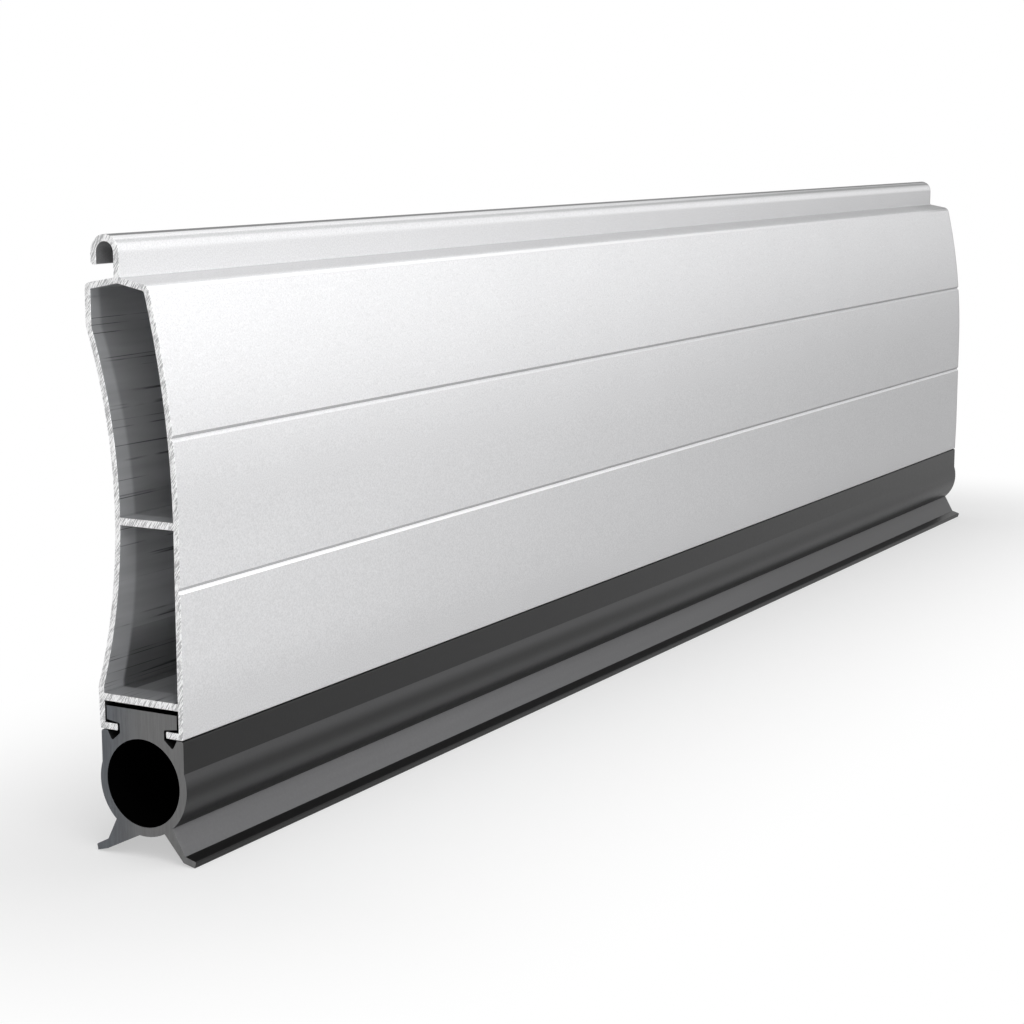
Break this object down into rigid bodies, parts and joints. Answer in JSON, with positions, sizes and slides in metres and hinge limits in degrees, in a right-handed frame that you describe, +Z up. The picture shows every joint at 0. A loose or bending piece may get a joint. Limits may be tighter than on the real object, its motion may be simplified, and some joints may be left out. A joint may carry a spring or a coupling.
{
  "type": "roller shutter bottom slat",
  "caption": "Straight length of hollow shutter bottom slat with a hooked top edge, bowed front, hollowed back and a tubular rubber seal with splayed lips.",
  "frame": {"origin": "floor level, halfway along the slat and halfway between the tips of the seal's two lips", "axes": "+X along the slat, -Y towards the bowed front face, +Z up towards the hooked edge"},
  "size_m": [0.425, 0.0225, 0.1125],
  "materials": {
    "slat_metal": "satin",
    "seal_rubber": "matte"
  },
  "bodies": {
    "root": {"slat_extrusion": "slat_metal", "bottom_seal": "seal_rubber"}
  },
  "joints": []
}
